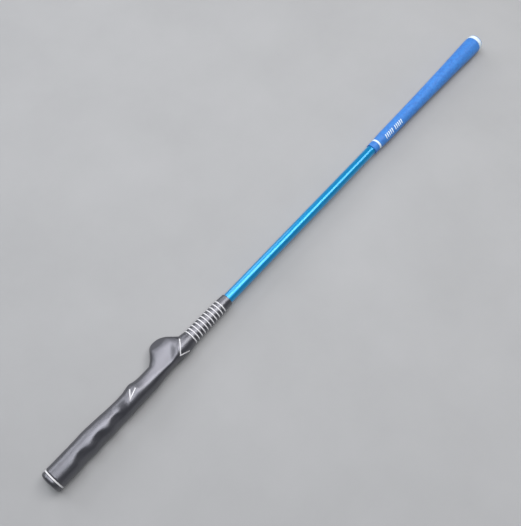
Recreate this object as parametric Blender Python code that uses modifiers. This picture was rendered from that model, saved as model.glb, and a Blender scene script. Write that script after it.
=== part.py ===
"""Swing trainer stick: a straight steel shaft with a moulded training grip on
one end and a round tapered grip on the weighted end.

Frame, metres: the shaft axis is the X axis and X = 0 is the end face of the
training grip's cap.  +Z is up with the stick lying on the floor, and the wing
of the training grip points to +Y and rests its lower edge on the floor.

Run it with: blender --background --python part.py
"""
import math

import bpy
import bmesh
from mathutils import Vector

MM = 0.001

# ----------------------------------------------------------------- sizes (mm)
SEG = 28                      # flats round every turned or lofted piece

SHAFT_R = 7.35                # 14.7 mm (0.580 in) tube
SHAFT_WALL = 0.95
SHAFT_X0, SHAFT_X1 = 12.6, 879.2

TAPE_IN, TAPE_OUT = 7.55, 7.80        # two layers of double-sided tape
BORE_R = 8.00                 # grip bore over the tape
LIP_R = 7.60                  # grip bore where it seals on the bare shaft

GRIP_X0, GRIP_X1 = 8.9, 311.3         # training grip sleeve
CAP_R = 14.85                 # training grip cap
CAP_SPIGOT_R = 10.3           # boss of each cap inside its sleeve
CAP_SOCKET_R = 10.6
CAP_SOCKET_DEPTH = 3.4

NECK_X0, NECK_X1 = 241.7, 297.1       # first and last white ring
NECK_RINGS = 11
NECK_R0, NECK_R1, MOUTH_R = 10.4, 9.5, 8.7
GROOVE_W, GROOVE_D = 1.75, 0.62
RING_W = 1.35

STEP_SHEAR = 0.87             # how far the step edge leans along the grip, per mm across
STEP_S = 214.9                # where the step crosses the grip's centre line
TOP_PHI = math.radians(17.0)  # the grip's broad axis is turned 17 degrees round the shaft

ROUND_X0, ROUND_X1 = 621.5, 883.4     # round grip sleeve
ROUND_BAND_X, ROUND_BAND_W = 633.5, 3.4
ROUND_RING_X1, ROUND_CAP_X1 = 887.9, 891.0
ROUND_SKIN_X1, ROUND_REBATE_R = 881.3, 11.6    # rebate in the butt that seats the white ring
VENT_R = 1.2

WEIGHT_R, WEIGHT_X0, WEIGHT_X1 = 6.0, 726.0, 864.0

# ------------------------------------------------------------- start clean
for old in list(bpy.data.objects):
    bpy.data.objects.remove(old, do_unlink=True)

parts = bpy.data.collections.new("swing_trainer_stick")
cutters = bpy.data.collections.new("cutters")
for col in (parts, cutters):
    bpy.context.scene.collection.children.link(col)


def material(name, colour, rough, metal=0.0):
    mat = bpy.data.materials.new(name)
    mat.use_nodes = True
    bsdf = mat.node_tree.nodes["Principled BSDF"]
    bsdf.inputs["Base Color"].default_value = (*colour, 1.0)
    bsdf.inputs["Roughness"].default_value = rough
    bsdf.inputs["Metallic"].default_value = metal
    return mat


BLACK_RUBBER = (0.022, 0.022, 0.026)
WHITE = (0.82, 0.82, 0.82)


def smooth(mesh, angle=40.0):
    mesh.shade_smooth()
    mesh.set_sharp_from_angle(angle=math.radians(angle))


def new_object(name, mesh, mat, col=parts):
    obj = bpy.data.objects.new(name, mesh)
    mesh.materials.append(mat)
    col.objects.link(obj)
    return obj


def turned(name, profile, mat, closed=False, seg=SEG, col=parts):
    """Revolve (x, r) points about the shaft axis.

    The object's local Z is the shaft axis: it is turned a quarter turn about
    Y, so local +Z lands on world +X.  The profile runs from its high x end
    down its outer side, which keeps the faces pointing out.
    """
    mesh = bpy.data.meshes.new(name)
    verts = [(r * MM, 0.0, x * MM) for x, r in profile]
    edges = [(i, i + 1) for i in range(len(verts) - 1)]
    if closed:
        edges.append((len(verts) - 1, 0))
    mesh.from_pydata(verts, edges, [])
    obj = new_object(name, mesh, mat, col)
    obj.rotation_euler = (0.0, math.pi / 2, 0.0)
    screw = obj.modifiers.new("turn", "SCREW")
    screw.axis = "Z"
    screw.angle = 2 * math.pi
    screw.steps = seg
    screw.render_steps = seg
    screw.use_merge_vertices = True
    screw.merge_threshold = 0.00001
    screw.use_smooth_shade = True
    return obj


def pipe(name, x0, x1, r_in, r_out, mat, seg=SEG):
    return turned(name, [(x1, r_out), (x0, r_out), (x0, r_in), (x1, r_in)], mat, closed=True, seg=seg)


# ------------------------------------------------------- helpers for profiles
def curve(stations):
    """Smooth curve through (x, value) stations that never overshoots them."""
    xs = [s[0] for s in stations]
    ys = [s[1] for s in stations]
    n = len(xs)
    d = [(ys[i + 1] - ys[i]) / (xs[i + 1] - xs[i]) for i in range(n - 1)]
    m = [d[0]] + [0.0] * (n - 2) + [d[-1]]
    for i in range(1, n - 1):
        if d[i - 1] * d[i] > 0:
            w1 = 2 * (xs[i + 1] - xs[i]) + (xs[i] - xs[i - 1])
            w2 = (xs[i + 1] - xs[i]) + 2 * (xs[i] - xs[i - 1])
            m[i] = (w1 + w2) / (w1 / d[i - 1] + w2 / d[i])

    def value(x):
        if x <= xs[0]:
            return ys[0]
        if x >= xs[-1]:
            return ys[-1]
        i = max(k for k in range(n - 1) if xs[k] <= x)
        h = xs[i + 1] - xs[i]
        t = (x - xs[i]) / h
        return ((2 * t ** 3 - 3 * t ** 2 + 1) * ys[i] + (t ** 3 - 2 * t ** 2 + t) * h * m[i]
                + (3 * t ** 2 - 2 * t ** 3) * ys[i + 1] + (t ** 3 - t ** 2) * h * m[i + 1])

    return value


def ease(t):
    t = min(1.0, max(0.0, t))
    return t * t * (3 - 2 * t)


# --------------------------------------------------- training grip, its form
# Reach of the body from the shaft axis on its four sides, at stations along X.
side_wing = curve([(8.9, 15.0), (32, 15.0), (52, 15.05), (66, 15.5), (80, 14.9), (95, 13.95), (106, 13.1), (122, 12.6),
                   (130, 12.75), (137, 13.8), (144, 15.0), (150, 13.7), (157, 12.5), (164, 12.3), (180, 12.3),
                   (215, 11.9), (229, 12.0), (236, 11.3), (241, NECK_R0)])
side_palm = curve([(8.9, 15.0), (40, 15.1), (100, 14.9), (118, 14.5), (132, 13.9), (166, 13.6), (178, 12.5),
                   (190, 11.4), (203, 10.9), (216, 12.0), (228, 12.5), (236, 11.4), (241, NECK_R0)])
side_top = curve([(8.9, 15.0), (60, 15.0), (88, 14.5), (97, 13.8), (105, 12.5), (109, 11.8), (113, 11.7), (128, 14.6),
                  (133, 14.9), (147, 14.8), (157, 13.8), (175, 12.9), (205, 12.4), (222, 12.7), (230, 12.1), (236, 11.3), (241, NECK_R0)])
side_floor = curve([(8.9, 15.0), (50, 15.1), (100, 14.9), (130, 14.1), (170, 13.5), (205, 12.9), (222, 12.5),
                    (230, 12.0), (236, 11.3), (241, NECK_R0)])
# Reach of the wing, and how far its lower edge drops towards the floor.
wing_reach = curve([(168, 8.0), (176, 11.4), (181, 14.4), (185, 17.4), (188, 20.4), (192, 24.7), (196, 28.6),
                    (200, 30.8), (204, 31.2), (210, 30.2), (216, 26.9), (222, 21.8), (226, 17.4), (230, 13.2),
                    (234, 8.0)])
WING_R, FOOT_R, FOOT_DROP = 10.0, 8.0, 15.0
# Height of the flat thumb pad over the shaft axis.
pad_height = curve([(138, 20.0), (144, 17.0), (149, 15.3), (153, 14.1), (160, 13.0), (170, 12.2), (180, 11.4), (190, 10.7), (198, 10.2),
                    (204, 9.9), (230, 9.9)])
# Beyond the pad the wing falls away towards its tip: distance from the shaft axis of that sloping face.
wing_fall = curve([(182, 30.0), (188, 24.0), (194, 20.6), (199, 19.1), (210, 18.6), (218, 18.4), (224, 17.0), (230, 14.5)])
FALL_PHI = math.radians(55.0)
# Between the small mark and the wing the shoulder beside the pad is planed off.
shoulder = curve([(138, 20.0), (146, 16.0), (152, 13.7), (159, 12.8), (166, 12.8), (173, 13.8), (180, 16.5), (188, 22.0)])
SHOULDER_PHI = math.radians(43.0)
# Direction the pad faces, in degrees round the shaft: it twists from the top of the grip to the wing.
pad_phi = curve([(150, 84.0), (170, 87.0), (190, 93.0), (204, 95.0)])
# The pad sweeps up to the collar along a slanting line: where that starts, its length, its height, its lean.
RISE_START, RISE_LENGTH, RISE, RISE_LEAN = 203.0, 19.0, 3.6, 0.93
# Finger hollows under the palm side: centres and depth.
HOLLOWS = (49.0, 77.5, 105.5)
HOLLOW_DEPTH, HOLLOW_LENGTH = 2.8, 8.5
HOLLOW_START, HOLLOW_FULL, HOLLOW_FADE, HOLLOW_END = 90.0, 132.0, 166.0, 226.0    # degrees round the grip


def body_support(x, th):
    u = th - TOP_PHI
    a = (side_wing(x) + side_palm(x)) / 2
    ca = (side_wing(x) - side_palm(x)) / 2
    b = (side_top(x) + side_floor(x)) / 2
    cb = (side_top(x) - side_floor(x)) / 2
    return ca * math.cos(u) + cb * math.sin(u) + math.hypot(a * math.cos(u), b * math.sin(u))


def wing_support(x, th):
    reach = wing_reach(x)
    lift = ease((reach - 9.0) / 21.0)
    cy = (reach - WING_R) / math.cos(TOP_PHI)
    tip = cy * math.cos(th) + WING_R
    fy = 0.78 * cy
    foot = fy * math.cos(th) + (-(FOOT_DROP - FOOT_R) * lift) * math.sin(th) + FOOT_R
    return max(tip, foot)


DIRS = [math.radians(3.0 * k) for k in range(120)]


def soft_min(a, b, k):
    return min(a, b) - k * math.log(1 + math.exp(-min(abs(a - b) / k, 60.0)))


def section(x, with_pad):
    """Polar reach of the section at x, as a function of the angle phi."""
    winged = 168.0 < x < 234.0
    hull = []
    for th in DIRS:
        h = body_support(x, th)
        if winged:
            h = max(h, wing_support(x, th))
        hull.append((th, h))
    pad = pad_height(x) if with_pad and x > 138.0 else None
    facing = math.radians(pad_phi(x))
    wave = sum(math.exp(-((x - c) / HOLLOW_LENGTH) ** 2) for c in HOLLOWS)

    def reach(phi):
        best = 1e9
        for th, h in hull:
            c = math.cos(phi - th)
            if c > 0.2:
                best = min(best, h / c)
        if pad is not None:
            c = math.cos(phi - facing)
            if c > 0.2:
                w = pad * math.tan(facing - phi)
                up = RISE * ease((x - RISE_LEAN * w - RISE_START) / RISE_LENGTH)
                best = soft_min(best, (pad + up) / c, 0.7)
            c = math.cos(phi - FALL_PHI)
            if c > 0.2 and x > 182.0:
                best = soft_min(best, wing_fall(x) / c, 0.9)
            c = math.cos(phi - SHOULDER_PHI)
            if c > 0.2 and x < 188.0:
                best = soft_min(best, shoulder(x) / c, 1.0)
        # fingers press in on the palm side and below
        d = math.degrees(phi) % 360.0
        best -= (HOLLOW_DEPTH * wave * ease((d - HOLLOW_START) / (HOLLOW_FULL - HOLLOW_START))
                 * ease((HOLLOW_END - d) / (HOLLOW_END - HOLLOW_FADE)))
        return best

    return reach


def neck_radius(x):
    if x <= NECK_X1:
        return NECK_R0 + (NECK_R1 - NECK_R0) * (x - NECK_X0) / (NECK_X1 - NECK_X0)
    return NECK_R1 + (MOUTH_R - NECK_R1) * min(1.0, (x - NECK_X1) / (GRIP_X1 - 1.0 - NECK_X1))


def stations():
    """(x, kind, radius offset) rows from the butt of the sleeve to its mouth."""
    rows = [(GRIP_X0, "end", 0.0), (GRIP_X0 + 0.7, "body", 0.0)]
    x = 16.0
    while x < 176.0:
        rows.append((x, "body", 0.0))
        x += 8.0 if x < 112 else 5.0
    x = 178.0
    while x < STEP_S - 1.0:
        rows.append((x, "body", 0.0))
        x += 3.0
    rows += [(STEP_S - 0.15, "body", 0.0), (STEP_S + 0.15, "collar", 0.0)]
    x = STEP_S + 2.8
    while x < 237.5:
        rows.append((x, "collar", 0.0))
        x += 3.0
    pitch = (NECK_X1 - NECK_X0) / (NECK_RINGS - 1)
    for k in range(NECK_RINGS):
        c = NECK_X0 + k * pitch
        h = GROOVE_W / 2
        rows += [(c - h, "neck", 0.0), (c - h + 0.12, "neck", -GROOVE_D),
                 (c + h - 0.12, "neck", -GROOVE_D), (c + h, "neck", 0.0)]
    rows += [(304.0, "neck", 0.0), (GRIP_X1 - 0.6, "neck", 0.0), (GRIP_X1, "neck", -0.45)]
    return rows


def shear_amount(s):
    """1 at the step, fading to 0 on both sides, so sections lean with the step."""
    if s <= STEP_S:
        return ease((s - 176.0) / (STEP_S - 176.0))
    return ease((240.0 - s) / (240.0 - STEP_S))


def loft(name, rings, mat, col=parts):
    """Skin rings of points, closed along a tube: outside first, then the bore."""
    mesh = bpy.data.meshes.new(name)
    bm = bmesh.new()
    grid = [[bm.verts.new(p) for p in ring] for ring in rings]
    n = len(rings[0])
    for a, b in zip(grid, grid[1:] + grid[:1]):
        for j in range(n):
            k = (j + 1) % n
            bm.faces.new((a[j], b[j], b[k], a[k]))
    bmesh.ops.recalc_face_normals(bm, faces=bm.faces)
    bmesh.ops.triangulate(bm, faces=bm.faces)
    bm.to_mesh(mesh)
    bm.free()
    smooth(mesh)
    return new_object(name, mesh, mat, col)


def circle(x, r, n=SEG):
    return [Vector((x * MM, r * MM * math.cos(2 * math.pi * j / n), r * MM * math.sin(2 * math.pi * j / n)))
            for j in range(n)]


def grip_rings():
    rings = []
    for s, kind, off in stations():
        if kind == "neck":
            rings.append(circle(s, neck_radius(s) + off))
            continue
        lean = shear_amount(s)
        cache = {}
        ring = []
        for j in range(SEG):
            phi = 2 * math.pi * j / SEG
            x = s + lean * STEP_SHEAR * 12.0 * math.cos(phi - TOP_PHI)
            key = round(x, 3)
            if key not in cache:
                cache[key] = section(x, kind != "collar")
            r = cache[key](phi) - (0.5 if kind == "end" else 0.0)
            ring.append(Vector((x * MM, r * MM * math.cos(phi), r * MM * math.sin(phi))))
        rings.append(ring)
    return rings


grip_skin = grip_rings()
bore = [circle(GRIP_X1, LIP_R), circle(GRIP_X1 - 14.0, LIP_R), circle(GRIP_X1 - 14.8, BORE_R),
        circle(GRIP_X0 + CAP_SOCKET_DEPTH, BORE_R), circle(GRIP_X0 + CAP_SOCKET_DEPTH, CAP_SOCKET_R),
        circle(GRIP_X0, CAP_SOCKET_R)]
training_grip = loft("training_grip_sleeve", grip_skin + bore, material("training_grip_rubber", BLACK_RUBBER, 0.55))


# --------------------------------------------- white marks set in the surface
def surface_point(x, phi, collar):
    r = section(x, not collar)(phi)
    return Vector((x, r * math.cos(phi), r * math.sin(phi)))


def surface_at(x, d, collar):
    """Point on the grip's upper side at x, d across from its centre line."""
    phi = TOP_PHI + math.pi / 2
    for _ in range(12):
        r = section(x, not collar)(phi)
        phi = TOP_PHI + math.acos(max(-0.98, min(0.98, d / r)))
    p = surface_point(x, phi, collar)
    a = surface_point(x + 0.6, phi, collar) - surface_point(x - 0.6, phi, collar)
    b = surface_point(x, phi + 0.05, collar) - surface_point(x, phi - 0.05, collar)
    n = a.cross(b).normalized()
    return p, n if n.dot(Vector((0, p.y, p.z))) > 0 else -n


def strip(name, corners, width, low, high, collar, mat, col=parts, extend=0.0):
    """A V shaped inlay through three (x, d) corners, from low to high over the surface."""
    e1, apex, e2 = [Vector(c) for c in corners]
    d1, d2 = (apex - e1).normalized(), (e2 - apex).normalized()
    path = []
    for t in (0.0, 0.3, 0.6):
        path.append((e1.lerp(apex, t) - (d1 * extend if t == 0 else Vector((0, 0))), Vector((-d1.y, d1.x))))
    nm = (Vector((-d1.y, d1.x)) + Vector((-d2.y, d2.x)))
    mitre = nm.normalized() / max(0.22, nm.normalized().dot(Vector((-d1.y, d1.x))))
    path.append((apex, mitre))
    for t in (0.4, 0.7, 1.0):
        path.append((apex.lerp(e2, t) + (d2 * extend if t == 1 else Vector((0, 0))), Vector((-d2.y, d2.x))))
    mesh = bpy.data.meshes.new(name)
    bm = bmesh.new()
    rows = []
    for q, side in path:
        row = []
        for sgn, level in ((1, high), (-1, high), (-1, low), (1, low)):
            w = q + side * (sgn * width / 2)
            p, n = surface_at(w.x, w.y, collar)
            row.append(bm.verts.new((p + n * level) * MM))
        rows.append(row)
    for a, b in zip(rows, rows[1:]):
        for j in range(4):
            k = (j + 1) % 4
            bm.faces.new((a[j], b[j], b[k], a[k]))
    bm.faces.new(rows[0])
    bm.faces.new(list(reversed(rows[-1])))
    bmesh.ops.recalc_face_normals(bm, faces=bm.faces)
    bmesh.ops.triangulate(bm, faces=bm.faces)
    bm.to_mesh(mesh)
    bm.free()
    return new_object(name, mesh, mat, col)


V_SMALL = [(140.8, 9.9), (132.3, 0.7), (147.0, 6.2)]
V_LARGE = [(228.6, 9.2), (213.9, -6.6), (227.3, -11.2)]
MARK_W = 1.5
for tag, corners, collar in (("small", V_SMALL, False), ("large", V_LARGE, True)):
    cut = strip("cut_v_" + tag, corners, MARK_W + 0.6, -0.95, 1.2, collar, material("cut_" + tag, WHITE, 0.6),
                cutters, extend=0.3)
    cut.hide_render = True
    cut.display_type = "WIRE"
    boolean = training_grip.modifiers.new("recess_" + tag, "BOOLEAN")
    boolean.operation = "DIFFERENCE"
    boolean.solver = "EXACT"
    boolean.object = cut
    strip("training_grip_v_mark_" + tag, corners, MARK_W, -0.65, -0.06, collar,
          material("white_enamel_v_" + tag, WHITE, 0.5))

# -------------------------------------------------------------- training cap
dome = [(5.2 * (1 - math.sin(k * math.pi / 16) ** 0.63), 5.0 + (CAP_R - 5.0) * math.cos(k * math.pi / 16) ** 0.63)
        for k in range(8)] + [(0.0, 5.0)]
turned("training_grip_cap",
       [(GRIP_X0 + CAP_SOCKET_DEPTH - 0.3, 0.0), (GRIP_X0 + CAP_SOCKET_DEPTH - 0.3, CAP_SPIGOT_R), (8.75, CAP_SPIGOT_R),
        (8.75, 10.2), (6.55, 10.2), (6.55, CAP_R - 0.35)] + dome + [(0.0, 0.0)],
       material("training_cap_rubber", BLACK_RUBBER, 0.5))
pipe("training_grip_butt_ring", 6.8, 8.65, 10.5, CAP_R - 0.1, material("white_butt_ring", WHITE, 0.5))

# ----------------------------------------------------------------- neck rings
pitch = (NECK_X1 - NECK_X0) / (NECK_RINGS - 1)
neck_white = material("white_neck_rings", WHITE, 0.5)
for k in range(NECK_RINGS):
    c = NECK_X0 + k * pitch
    r = neck_radius(c)
    pipe("training_grip_neck_ring_%02d" % (k + 1), c - RING_W / 2, c + RING_W / 2,
         r - GROOVE_D + 0.12, r - 0.06, neck_white)

# -------------------------------------------------------- shaft and what fills it
steel_blue = material("blue_lacquered_steel", (0.01, 0.16, 0.52), 0.22, 0.7)
pipe("shaft_tube", SHAFT_X0, SHAFT_X1, SHAFT_R - SHAFT_WALL, SHAFT_R, steel_blue)

inner = SHAFT_R - SHAFT_WALL
nylon = material("black_nylon", (0.03, 0.03, 0.03), 0.5)


def plug(name, x_face, direction, mat):
    """Push-in end plug: a thin head on the tube's end face and a ribbed stem inside."""
    stem = [(0.0, 0.0), (0.0, inner - 0.8), (1.2, inner - 0.2), (4.2, inner - 0.2), (5.0, inner - 0.7),
            (6.2, inner - 0.7), (7.0, inner - 0.2), (10.0, inner - 0.2), (10.0, 0.0)]
    profile = [(x_face + direction * x, r) for x, r in stem]
    if direction > 0:
        profile.reverse()
    return turned(name, profile, mat, seg=16)


plug("shaft_plug_training_end", SHAFT_X0 + 0.3, 1, nylon)
plug("shaft_plug_weighted_end", SHAFT_X1 - 0.3, -1, nylon)

turned("counterweight_bar",
       [(WEIGHT_X1, 0.0), (WEIGHT_X1, WEIGHT_R - 0.8), (WEIGHT_X1 - 0.8, WEIGHT_R), (WEIGHT_X0 + 0.8, WEIGHT_R),
        (WEIGHT_X0, WEIGHT_R - 0.8), (WEIGHT_X0, 0.0)],
       material("plain_steel", (0.45, 0.45, 0.46), 0.35, 1.0), seg=20)
foam = material("grey_foam", (0.25, 0.25, 0.26), 0.9)
turned("counterweight_inner_stop",
       [(WEIGHT_X0 - 0.3, 0.0), (WEIGHT_X0 - 0.3, inner - 0.2), (WEIGHT_X0 - 16.3, inner - 0.2),
        (WEIGHT_X0 - 16.3, 0.0)], foam, seg=16)
turned("counterweight_end_cushion",
       [(WEIGHT_X1 + 3.7, 0.0), (WEIGHT_X1 + 3.7, inner - 0.2), (WEIGHT_X1 + 0.3, inner - 0.2),
        (WEIGHT_X1 + 0.3, 0.0)], foam, seg=16)

tape = material("grip_tape", (0.75, 0.72, 0.62), 0.8)
pipe("training_grip_tape", 14.0, 293.0, TAPE_IN, TAPE_OUT, tape)
pipe("round_grip_tape", 639.0, 877.5, TAPE_IN, TAPE_OUT, tape)

# ---------------------------------------------------------------- round grip
ROUND_PROFILE = curve([(627.0, 8.25), (638.0, 8.45), (646.0, 9.05), (715.0, 9.65), (760.0, 10.3), (795.0, 11.0),
                       (823.0, 11.6), (850.0, 12.4), (870.0, 12.95), (877.0, 13.05), (880.8, 13.0)])


def round_profile():
    h = ROUND_BAND_W / 2
    x0, x1 = ROUND_BAND_X - h, ROUND_BAND_X + h
    out = [(ROUND_X0, LIP_R), (ROUND_X0, 7.95), (ROUND_X0 + 0.6, 8.3), (x0, ROUND_PROFILE(x0)),
           (x0 + 0.12, ROUND_PROFILE(x0) - 0.5), (x1 - 0.12, ROUND_PROFILE(x1) - 0.5), (x1, ROUND_PROFILE(x1))]
    x = 638.0
    while x < ROUND_SKIN_X1 - 1.0:
        out.append((x, ROUND_PROFILE(x)))
        x += 4.0 if x < 646 else (20.0 if x < 840 else (12.0 if x < 865 else 4.5))
    out += [(ROUND_SKIN_X1 - 0.4, ROUND_PROFILE(880.8)), (ROUND_SKIN_X1, ROUND_PROFILE(880.8) - 0.35),
            (ROUND_SKIN_X1, ROUND_REBATE_R), (ROUND_X1, ROUND_REBATE_R), (ROUND_X1, CAP_SOCKET_R),
            (ROUND_X1 - CAP_SOCKET_DEPTH, CAP_SOCKET_R), (ROUND_X1 - CAP_SOCKET_DEPTH, BORE_R),
            (ROUND_X0 + 15.0, BORE_R), (ROUND_X0 + 14.2, LIP_R)]
    out.reverse()
    return out


BLUE_RUBBER = (0.06, 0.22, 0.75)
turned("round_grip_sleeve", round_profile(), material("round_grip_rubber", BLUE_RUBBER, 0.6), closed=True)
band_r = ROUND_PROFILE(ROUND_BAND_X)
pipe("round_grip_mouth_band", ROUND_BAND_X - ROUND_BAND_W / 2 + 0.3, ROUND_BAND_X + ROUND_BAND_W / 2 - 0.3,
     band_r - 0.36, band_r - 0.05, material("white_mouth_band", WHITE, 0.5))
turned("round_grip_butt_ring",
       [(ROUND_RING_X1, 12.4), (ROUND_RING_X1 - 1.5, 12.85), (ROUND_RING_X1 - 4.0, 13.05), (ROUND_SKIN_X1 + 0.25, 13.05),
        (ROUND_SKIN_X1 + 0.25, ROUND_REBATE_R + 0.3), (ROUND_X1 + 0.25, ROUND_REBATE_R + 0.3), (ROUND_X1 + 0.25, 10.5),
        (ROUND_RING_X1, 10.5)],
       material("white_cap_ring", WHITE, 0.5), closed=True)
turned("round_grip_cap",
       [(ROUND_CAP_X1, VENT_R), (ROUND_CAP_X1, 5.2), (890.8, 7.4), (890.4, 9.2), (889.7, 10.7), (888.9, 11.7),
        (ROUND_RING_X1 + 0.25, 12.1), (ROUND_RING_X1 + 0.25, 10.2), (ROUND_X1 + 0.2, 10.2),
        (ROUND_X1 + 0.2, CAP_SPIGOT_R), (ROUND_X1 - CAP_SOCKET_DEPTH + 0.3, CAP_SPIGOT_R),
        (ROUND_X1 - CAP_SOCKET_DEPTH + 0.3, VENT_R)],
       material("round_cap_rubber", BLUE_RUBBER, 0.55), closed=True)
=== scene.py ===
"""Looks of the swing trainer stick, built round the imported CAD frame."""

import math

import bmesh
import bpy
import numpy as np
from mathutils import Matrix, Vector
from mathutils.bvhtree import BVHTree


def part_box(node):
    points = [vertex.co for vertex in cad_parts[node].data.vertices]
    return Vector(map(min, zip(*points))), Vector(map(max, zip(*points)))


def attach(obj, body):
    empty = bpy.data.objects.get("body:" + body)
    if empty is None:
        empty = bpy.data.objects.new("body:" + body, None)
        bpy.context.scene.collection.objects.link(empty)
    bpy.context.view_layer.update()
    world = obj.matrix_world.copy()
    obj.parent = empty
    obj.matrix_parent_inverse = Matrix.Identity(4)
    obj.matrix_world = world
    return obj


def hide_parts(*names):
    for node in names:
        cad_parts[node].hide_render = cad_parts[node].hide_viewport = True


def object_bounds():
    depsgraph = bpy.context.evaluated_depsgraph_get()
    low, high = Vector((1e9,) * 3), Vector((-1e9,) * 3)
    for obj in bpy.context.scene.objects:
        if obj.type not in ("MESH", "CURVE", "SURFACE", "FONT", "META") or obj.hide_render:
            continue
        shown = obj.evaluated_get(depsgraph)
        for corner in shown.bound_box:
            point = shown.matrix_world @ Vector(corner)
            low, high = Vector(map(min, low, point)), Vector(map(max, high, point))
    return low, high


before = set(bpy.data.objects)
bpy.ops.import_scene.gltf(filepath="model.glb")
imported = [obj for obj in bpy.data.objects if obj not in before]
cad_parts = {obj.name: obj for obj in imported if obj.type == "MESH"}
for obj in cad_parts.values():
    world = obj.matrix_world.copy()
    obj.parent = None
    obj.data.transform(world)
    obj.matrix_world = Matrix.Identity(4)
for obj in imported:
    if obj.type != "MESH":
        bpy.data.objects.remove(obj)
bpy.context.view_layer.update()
MM = 0.001


def span(node):
    """Lowest and highest x of a CAD node, and its largest reach in y, in mm."""
    lo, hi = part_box(node)
    return lo.x / MM, hi.x / MM, max(abs(lo.y), abs(hi.y), abs(lo.z), abs(hi.z)) / MM


# ------------------------------------------------------------ sizes, from the frame
GRIP_X0, GRIP_X1, _ = span("training_grip_sleeve")
CAP_X0, CAP_X1, CAP_R = span("training_grip_cap")
BRING_X0, BRING_X1, BRING_R = span("training_grip_butt_ring")
SHAFT_X0, SHAFT_X1, SHAFT_R = span("shaft_tube")
ROUND_X0, ROUND_X1, ROUND_RMAX = span("round_grip_sleeve")
RCAP_X0, RCAP_X1, RCAP_R = span("round_grip_cap")
RRING_X0, RRING_X1, RRING_R = span("round_grip_butt_ring")
SKIN_X1 = RRING_X0 - 0.25
BAND_X0, BAND_X1, BAND_R = span("round_grip_mouth_band")
NECK_RINGS = 11
RINGS = [span("training_grip_neck_ring_%02d" % k) for k in range(1, NECK_RINGS + 1)]
NECK_X0, NECK_X1 = (RINGS[0][0] + RINGS[0][1]) / 2, (RINGS[-1][0] + RINGS[-1][1]) / 2
NECK_R0, NECK_R1, MOUTH_R = RINGS[0][2] + 0.06, RINGS[-1][2] + 0.06, 8.7
BORE_R, LIP_R = 8.0, 7.6
GROOVE_W, GROOVE_D = 1.75, 0.62
STEP_SHEAR, STEP_S = 0.87, 214.9
TOP_PHI = math.radians(17.0)
SEG = 192

# ------------------------------------------------------------------ profiles


def curve(stations):
    """Smooth curve through (x, value) stations that never overshoots them, for arrays."""
    xs = np.array([s[0] for s in stations], float)
    ys = np.array([s[1] for s in stations], float)
    h = np.diff(xs)
    d = np.diff(ys) / h
    m = np.zeros(len(xs))
    m[0], m[-1] = d[0], d[-1]
    for i in range(1, len(xs) - 1):
        if d[i - 1] * d[i] > 0:
            w1, w2 = 2 * h[i] + h[i - 1], h[i] + 2 * h[i - 1]
            m[i] = (w1 + w2) / (w1 / d[i - 1] + w2 / d[i])

    def value(x):
        x = np.clip(np.asarray(x, float), xs[0], xs[-1])
        i = np.clip(np.searchsorted(xs, x, side="right") - 1, 0, len(xs) - 2)
        t = (x - xs[i]) / h[i]
        return ((2 * t ** 3 - 3 * t ** 2 + 1) * ys[i] + (t ** 3 - 2 * t ** 2 + t) * h[i] * m[i]
                + (3 * t ** 2 - 2 * t ** 3) * ys[i + 1] + (t ** 3 - t ** 2) * h[i] * m[i + 1])

    return value


def ease(t):
    t = np.clip(t, 0.0, 1.0)
    return t * t * (3 - 2 * t)


side_wing = curve([(8.9, 15.0), (32, 15.0), (52, 15.05), (66, 15.5), (80, 14.9), (95, 13.95), (106, 13.1), (122, 12.6),
                   (130, 12.75), (137, 13.8), (144, 15.0), (150, 13.7), (157, 12.5), (164, 12.3), (180, 12.3),
                   (215, 11.9), (229, 12.0), (236, 11.3), (241, NECK_R0)])
side_palm = curve([(8.9, 15.0), (40, 15.1), (100, 14.9), (118, 14.5), (132, 13.9), (166, 13.6), (178, 12.5),
                   (190, 11.4), (203, 10.9), (216, 12.0), (228, 12.5), (236, 11.4), (241, NECK_R0)])
side_top = curve([(8.9, 15.0), (60, 15.0), (88, 14.5), (97, 13.8), (105, 12.5), (109, 11.8), (113, 11.7), (128, 14.6),
                  (133, 14.9), (147, 14.8), (157, 13.8), (175, 12.9), (205, 12.4), (222, 12.7), (230, 12.1), (236, 11.3), (241, NECK_R0)])
side_floor = curve([(8.9, 15.0), (50, 15.1), (100, 14.9), (130, 14.1), (170, 13.5), (205, 12.9), (222, 12.5),
                    (230, 12.0), (236, 11.3), (241, NECK_R0)])
wing_reach = curve([(168, 8.0), (176, 11.4), (181, 14.4), (185, 17.4), (188, 20.4), (192, 24.7), (196, 28.6),
                    (200, 30.8), (204, 31.2), (210, 30.2), (216, 26.9), (222, 21.8), (226, 17.4), (230, 13.2),
                    (234, 8.0)])
WING_R, FOOT_R, FOOT_DROP = 10.0, 8.0, 15.0
pad_height = curve([(138, 20.0), (144, 17.0), (149, 15.3), (153, 14.1), (160, 13.0), (170, 12.2), (180, 11.4), (190, 10.7), (198, 10.2),
                    (204, 9.9), (230, 9.9)])
wing_fall = curve([(182, 30.0), (188, 24.0), (194, 20.6), (199, 19.1), (210, 18.6), (218, 18.4), (224, 17.0), (230, 14.5)])
FALL_PHI = math.radians(55.0)
shoulder = curve([(138, 20.0), (146, 16.0), (152, 13.7), (159, 12.8), (166, 12.8), (173, 13.8), (180, 16.5), (188, 22.0)])
SHOULDER_PHI = math.radians(43.0)
pad_phi = curve([(150, 84.0), (170, 87.0), (190, 93.0), (204, 95.0)])
RISE_START, RISE_LENGTH, RISE, RISE_LEAN = 203.0, 19.0, 3.6, 0.93
HOLLOWS = (49.0, 77.5, 105.5)
HOLLOW_DEPTH, HOLLOW_LENGTH = 2.8, 8.5
HOLLOW_START, HOLLOW_FULL, HOLLOW_FADE, HOLLOW_END = 90.0, 132.0, 166.0, 226.0    # degrees round the grip
DIRS = np.radians(np.arange(0, 360, 1.5))


def soft_min(a, b, k):
    return np.minimum(a, b) - k * np.log1p(np.exp(-np.abs(a - b) / k))


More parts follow.
